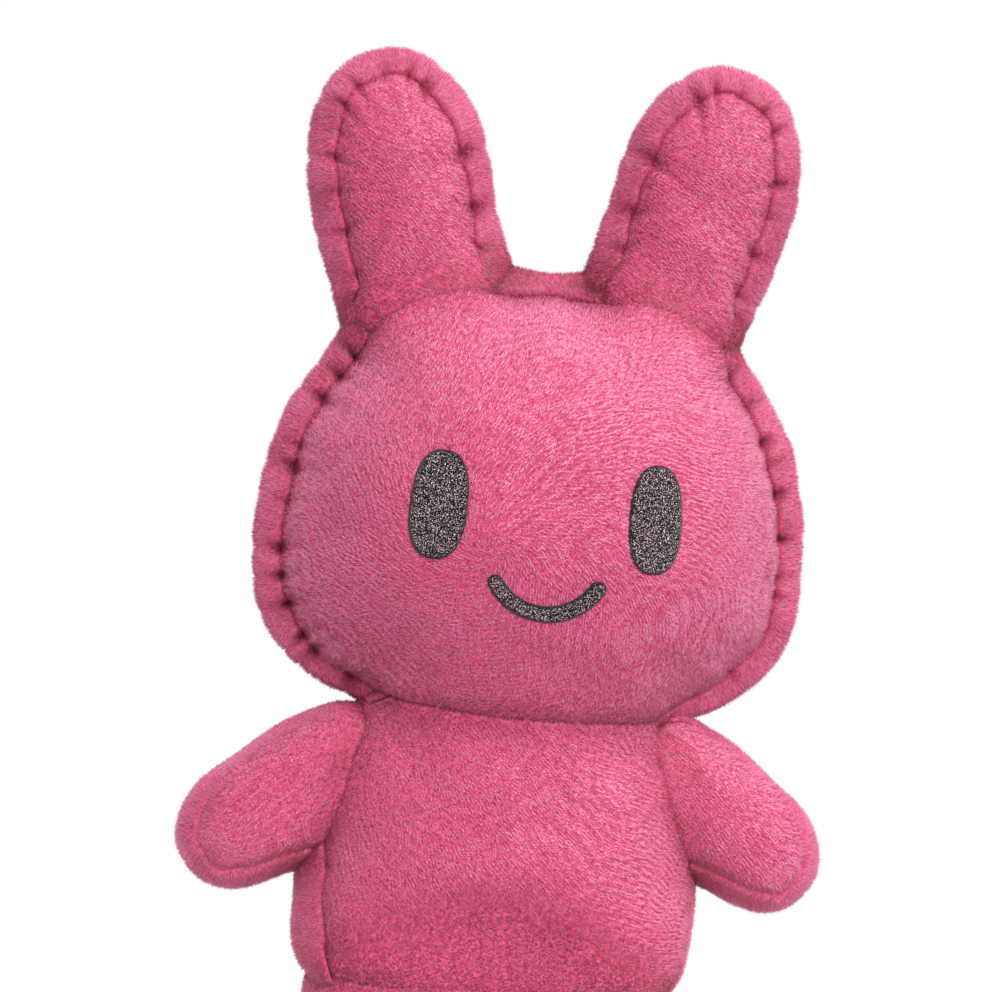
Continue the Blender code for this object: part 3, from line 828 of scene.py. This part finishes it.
def mouth_shape(low, high, stroke=2.7 * MM, shift=3.0 * MM, lift=1.8 * MM):
    """A round-ended arc of the CAD mouth's width and sag, as a line in (x, z) and its half widths."""
    width, sag = (high.x - low.x) / 2 - stroke, high.z - low.z - 2 * stroke
    radius = (width ** 2 + sag ** 2) / (2 * sag)
    reach = math.asin(width / radius) * radius
    ends = np.linspace(0, np.pi / 2, 12)
    middle = np.linspace(-reach, reach, 60)[1:-1]
    s = np.concatenate([-reach - stroke * np.cos(ends), middle, reach + stroke * np.sin(ends)])
    x = shift + radius * np.sin(s / radius)
    z = low.z + stroke + lift + radius * (1 - np.cos(s / radius))
    past = np.maximum(np.abs(s) - reach, 0) / stroke
    half = stroke * np.sqrt(np.maximum(1 - past ** 2, 0)) * (1 + 0.08 * s / reach)
    return np.column_stack([x, z]), half


def lay_felt(face, material):
    """The eyes and the mouth, and their outlines."""
    shapes = {
        "eye_left": eye_shape(*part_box("eye_left"), -0.6, 0.7 * MM),
        "eye_right": eye_shape(*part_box("eye_right"), 3.0, 3.0 * MM),
        "mouth": mouth_shape(*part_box("mouth")),
    }
    outlines = []
    for name, (line, half) in shapes.items():
        patch, outline = felt_patch(name + "_felt", face, line, np.maximum(half, 0.05 * MM), material)
        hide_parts(name)
        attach(patch, "head")
        outlines.append(outline)
    return outlines


def within(points, outline, margin):
    """Which (x, z) points lie inside a closed outline by more than a margin."""
    inside = np.zeros(len(points), bool)
    gap = np.full(len(points), 1e9)
    for p, q in zip(outline, np.roll(outline, -1, axis=0)):
        crosses = (p[1] > points[:, 1]) != (q[1] > points[:, 1])
        rise = q[1] - p[1] if q[1] != p[1] else 1e-12
        x = p[0] + (points[:, 1] - p[1]) / rise * (q[0] - p[0])
        inside ^= crosses & (points[:, 0] < x)
        gap = np.minimum(gap, np.linalg.norm(points - p, axis=1))
    return inside & (gap > margin)


# ---- camera, light and floor

def aim_camera():
    a, e, roll = map(math.radians, (AZIMUTH, ELEVATION, ROLL))
    back = Vector((math.sin(a) * math.cos(e), -math.cos(a) * math.cos(e), math.sin(e)))
    right = Vector((0, 0, 1)).cross(back).normalized()
    up = back.cross(right)
    right, up = right * math.cos(roll) + up * math.sin(roll), up * math.cos(roll) - right * math.sin(roll)
    camera = bpy.data.objects.new("camera", bpy.data.cameras.new("camera"))
    camera.data.lens = LENS
    camera.data.sensor_width = SENSOR
    turn = Matrix((right, up, back)).transposed().to_4x4()
    camera.matrix_world = Matrix.Translation(AIM + back * DISTANCE) @ turn
    bpy.context.scene.collection.objects.link(camera)
    bpy.context.scene.camera = camera
    return right, up, back


def light_studio(right, up, back):
    """A soft key light, a fill that falls off downwards, and white behind everything."""
    scene = bpy.context.scene
    scene.view_settings.view_transform = "Standard"
    sun = bpy.data.objects.new("key", bpy.data.lights.new("key", "SUN"))
    sun.data.energy, sun.data.angle = KEY_STRENGTH, math.radians(KEY_ANGLE)
    sun.data.color = (1.0, 0.99, 0.98)
    towards = (right * KEY_FROM[0] + up * KEY_FROM[1] + back * KEY_FROM[2]).normalized()
    sun.rotation_mode = "QUATERNION"
    sun.rotation_quaternion = towards.to_track_quat("Z", "Y")
    scene.collection.objects.link(sun)
    world = bpy.data.worlds.new("studio")
    world.use_nodes = True
    scene.world = world
    nodes, links = world.node_tree.nodes, world.node_tree.links
    nodes.clear()
    out = nodes.new("ShaderNodeOutputWorld")
    seen, fill = nodes.new("ShaderNodeBackground"), nodes.new("ShaderNodeBackground")
    seen.inputs["Strength"].default_value = 1.0
    seen.inputs["Color"].default_value = (1, 1, 1, 1)
    place, across = nodes.new("ShaderNodeTexCoord"), nodes.new("ShaderNodeVectorMath")
    across.operation = "DOT_PRODUCT"
    across.inputs[1].default_value = right * FILL_SLOPE[0] + up * FILL_SLOPE[1] + back * FILL_SLOPE[2]
    level, dim, gloss = (nodes.new("ShaderNodeMath") for _ in range(3))
    dim.operation, gloss.operation = "MULTIPLY", "MULTIPLY_ADD"
    level.inputs[1].default_value = FILL
    gloss.inputs[1].default_value, gloss.inputs[2].default_value = FILL_IN_GLOSS - 1.0, 1.0
    links.new(place.outputs["Generated"], across.inputs[0])
    links.new(across.outputs["Value"], level.inputs[0])
    links.new(level.outputs[0], dim.inputs[0])
    links.new(gloss.outputs[0], dim.inputs[1])
    links.new(dim.outputs[0], fill.inputs["Strength"])
    path, mix = nodes.new("ShaderNodeLightPath"), nodes.new("ShaderNodeMixShader")
    links.new(path.outputs["Is Glossy Ray"], gloss.inputs[0])
    links.new(path.outputs["Is Camera Ray"], mix.inputs["Fac"])
    links.new(fill.outputs[0], mix.inputs[1])
    links.new(seen.outputs[0], mix.inputs[2])
    links.new(mix.outputs[0], out.inputs["Surface"])


def lay_floor(count=128):
    angle = np.arange(count) * 2 * np.pi / count
    ring = np.column_stack([np.cos(angle), np.sin(angle), np.zeros(count)]) * FLOOR_RADIUS
    ring[:, 2] = CAD_LOW.z - FLOOR_DROP
    floor = object_of("floor", ring, [list(range(count))])
    material, _, _, bsdf = shader("floor_white", 0.9)
    bsdf.inputs["Base Color"].default_value = (FLOOR_GREY, FLOOR_GREY, FLOOR_GREY, 1)
    floor.data.materials.append(material)


# ---- the pieces

def joint_at(name):
    return np.array(JOINTS[name]["pos_m"], float)


def placed(centre, tilt):
    """Placing for a piece at centre, its w axis turned by tilt degrees towards +X; mirrored for the right."""
    def place(right):
        sign = -1.0 if right else 1.0
        turn = Matrix.Rotation(math.radians(tilt * sign), 3, "Y")
        return turn, (centre[0] * sign, centre[1], centre[2])
    return place


def ramp(x, a, b):
    """From none at a to one at b, both in millimetres."""
    return smoothstep(x, a * MM, b * MM)


def arch(x, half_width, power=2):
    """One at x = 0 and none from half_width on, in millimetres."""
    return np.maximum(1 - (x / (half_width * MM)) ** power, 0)


def ear_root(edge, near=13, far=23):
    """One where an ear comes out of the head, on its outline, and none elsewhere."""
    away = np.abs(np.abs(edge[:, 0]) - 44 * MM)
    return (edge[:, 1] > 30 * MM) * (1 - ramp(away, near, far))


def make_head():
    def inner_border(edge, root=0.0):
        x, w = np.abs(edge[:, 0]), edge[:, 1]
        below = SEAM + 5.8 * MM * ramp(x, 42, 54) + 2.2 * MM * ramp(x, 60, 80)
        return np.where(w < -30 * MM, below, BORDER - (BORDER - SEAM) * root)

    def border(edge):
        return inner_border(edge, ear_root(edge))

    def opening(edge):
        neck = 27 * MM * arch(edge[:, 0], 58) ** 1.1
        return np.where(edge[:, 1] < -30 * MM, neck, 6.5 * MM * ear_root(edge, 0, 36))

    def soft(edge):
        return 0.12 * ramp(edge[:, 1], 30, 75) + 0.1 * ear_root(edge, 4, 36)

    def pinch(edge):
        x, w = edge.T
        slack = 1 - (x > 0) * ramp(-w, 4, 22)
        return 0.2 + (0.85 * ramp(-x, 30, 60) + 0.5 * ramp(x, 40, 70)) * slack

    return Pillow(
        superellipse(90.6, 92, 57.5, 2.2, 2.7), middle=(0, 14), depths=(55, 49),
        place=placed((3.0 * MM, 0, 0.2045), 0), seed=3, border=border, inner_border=inner_border,
        opening=opening, pinch=pinch, soft=soft, stitch=12, simulated=0.1, even=90.0, lumps=0.22,
    )


def make_ear():
    def border(edge):
        return SEAM + 7.8 * MM * ramp(edge[:, 1], -45, -32)

    def opening(edge):
        return 5 * MM * ramp(-edge[:, 1], 40, 48)

    def pinch(edge):
        return 0.6 + 0.8 * ramp(-edge[:, 0], 14, 22) + 0.3 * ramp(edge[:, 0], 14, 22)

    tilt = math.radians(EAR_TILT)
    centre = joint_at("ear_left_flop") + 34 * MM * np.array([math.sin(tilt), 0, math.cos(tilt)])
    return Pillow(
        superellipse(29.5, 45.5, 49, 2.2, 3.4), middle=(0, -2), depths=(12.5, 12.5),
        place=placed(centre, EAR_TILT), seed=5, border=border, opening=opening, pinch=pinch,
        stitch=12, plump=0.3, simulated=0.12, even=30.0,
    )


def make_body():
    def border(edge):
        x, w = edge.T
        width = np.where(x < 0, 8.5 * MM, 0.6 * MM)
        return SEAM + width * ramp(-w, -24, -8) * ramp(w, -42.5, -39)

    def opening(edge):
        x, w = edge.T
        neck = 25 * MM * arch(x, 47) ** 0.6 * (w > 30 * MM)
        return neck + 19 * MM * arch(x, 60, 4) ** 0.6 * (w < -34 * MM)

    def crease(flat):
        u, w = flat.T
        width = 22 * MM + 0.5 * np.maximum(-w, 0)
        return -CREASE * np.exp(-(u / width) ** 2) * ramp(-w, -8, 32)

    return Pillow(
        superellipse(66.2, 60, 45, 2.9, 5.5), middle=(0, 4), depths=(36, 36.5),
        place=placed((0, 0, 0.100), 0), seed=11, border=border, opening=opening, crease=crease,
        pinch=lambda edge: np.full(len(edge), 0.5), stitch=16, plump=0.5,
    )


def make_arm():
    def border(edge):
        x, w = edge.T
        return SEAM + 6.0 * MM * np.where(x > 0, ramp(-w, 4, 18), ramp(-w, -14, 0))

    def opening(edge):
        return 6 * MM * ramp(edge[:, 1], 30, 42)

    turn = math.radians(ARM_TILT)
    along = np.array([math.sin(turn), 0, math.cos(turn)])
    aside = np.array([math.cos(turn), 0, -math.sin(turn)])
    centre = joint_at("arm_left_raise") + 2.3 * MM * aside - 22 * MM * along
    return Pillow(
        superellipse(20.6, 46, 30.3, 3.4, 2.3), middle=(0, 4), depths=(16.8, 16.8),
        place=placed(centre, ARM_TILT), seed=21, border=border, opening=opening,
        pinch=lambda edge: np.full(len(edge), 0.15), plump=0.93, roll=4.0,
    )


def make_leg():
    def border(edge):
        x, w = np.abs(edge.T)
        return SEAM + 1.8 * MM * ramp(x, 22, 26) * ramp(-w, -24, -14)

    def opening(edge):
        x, w = edge.T
        return 18 * MM * arch(x, 26.8) ** 0.55 * ramp(-w, 22, 34) + 10 * MM * ramp(w, 30, 38)

    return Pillow(
        superellipse(27.5, 39, 39, 3.2, 2.75), middle=(0, 0), depths=(21.5, 21.5),
        place=placed((joint_at("leg_left_swing")[0], 0, 41.5 * MM), 0),
        seed=31, border=border, opening=opening,
        pinch=lambda edge: np.full(len(edge), 0.4), stitch=12, plump=0.8,
    )


def build_tail(material):
    """A small round pompom sewn to the back."""
    low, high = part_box("tail_cover")
    centre = np.array([(low.x + high.x) / 2, high.y - (high.z - low.z) / 2, (low.z + high.z) / 2])
    radius = (high.z - low.z) / 2 - 0.5 * MM
    rows, count = 36, 72
    polar = np.linspace(0, np.pi, rows + 1)[1:-1][:, None]
    angle = np.arange(count) * 2 * np.pi / count
    y = np.cos(polar) * np.ones(count)
    ball = np.stack([np.sin(polar) * np.cos(angle), y, np.sin(polar) * np.sin(angle)], axis=-1).reshape(-1, 3)
    ball = np.vstack([ball, [[0, 1, 0]], [[0, -1, 0]]])
    points = centre + ball * radius * (1 + 0.03 * Waves(0.9, 77).value(ball))[:, None]
    index = np.arange((rows - 1) * count).reshape(rows - 1, count)
    # Each face starts one corner on, which settles how it is split and so where the tufts stand.
    faces = [face[1:] + face[:1] for face in closed_faces(index)]
    obj = object_of("tail_cover_plush", points, faces, [material])
    facts = np.tile([1.0, 20 * MM, 20 * MM, 0.0], (len(points), 1))
    return obj, facts, -ball


def make_covers(material):
    """Every cover by name: its object, its facts and its inward directions."""
    makers = {"head": make_head, "ear": make_ear, "body": make_body, "arm": make_arm, "leg": make_leg}
    pillows = {name: make() for name, make in makers.items()}
    simulate(pillows)
    covers = {name: build_cover(name + "_cover", pillows[name], material) for name in ("head", "body")}
    for kind in ("ear", "arm", "leg"):
        for side in ("left", "right"):
            name = f"{kind}_{side}"
            covers[name] = build_cover(name + "_cover", pillows[kind], material, side == "right")
    covers["tail"] = build_tail(material)
    return covers


def replaced(name):
    nodes = [node for node in CAD_NODES if node.startswith(name + "_")]
    return nodes + (["neck_stuffing"] if name == "body" else [])


def carry(piece, name):
    """Hangs the head and the tail on their bodies, and fixes the body and the limbs where they stand."""
    if name == "head":
        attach(piece, "head")
    elif name == "tail":
        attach(piece, "torso")
    elif name == "body":
        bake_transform(piece)
    else:
        kind, side = name.split("_")
        movement, parent, lean, near, far = BENDS[kind]
        joint = joint_at(f"{name}_{movement}")
        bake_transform(piece)


def touching(name):
    """The covers that a cover's pile must keep out of."""
    limbs = ["arm_left", "arm_right", "leg_left", "leg_right"]
    near = {"head": ["ear_left", "ear_right", "body"], "body": ["head", *limbs]}
    return near.get(name, ["head"] if name.startswith("ear") else ["body"])


def main():
    light_studio(*aim_camera())
    lay_floor()
    cloth, hair, felt = cloth_material(), pile_material(), felt_material()
    covers = make_covers(cloth)
    shells = {name: shell_of(parts[0]) for name, parts in covers.items()}
    for name, others, reach, rise in FILLETS:
        fill_crease(covers[name][0], [shells[other] for other in others], reach, rise)
    shells = {name: shell_of(parts[0]) for name, parts in covers.items()}
    outlines = lay_felt(shells["head"][2], felt)

    def under_felt(points):
        found = np.zeros(len(points), bool)
        flat = points[:, [0, 2]]
        for outline in outlines:
            low, high = outline.min(axis=0), outline.max(axis=0)
            near = (points[:, 1] < 0) & (flat > low).all(axis=1) & (flat < high).all(axis=1)
            found[near] = within(flat[near], outline, FELT_MARGIN)
        return found

    for number, (name, parts) in enumerate(covers.items()):
        near = [shells[other] for other in touching(name)]
        contrast = HEAD_CONTRAST if name == "head" else CONTRAST
        pieces = [parts[0]]
        for k, (side, sign) in enumerate(SIDES.items()):
            if name == "tail" and side == "front":
                continue
            bare = under_felt if name == "head" and side == "front" else None
            pieces.extend(grow_pile(
                f"{name}_{side}_pile", parts, sign, DENSITY[side], naps(name), 100 + 2 * number + k,
                hair, near, bare, contrast,
            ))
        for piece in pieces:
            carry(piece, name)
        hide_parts(*replaced(name))


main()
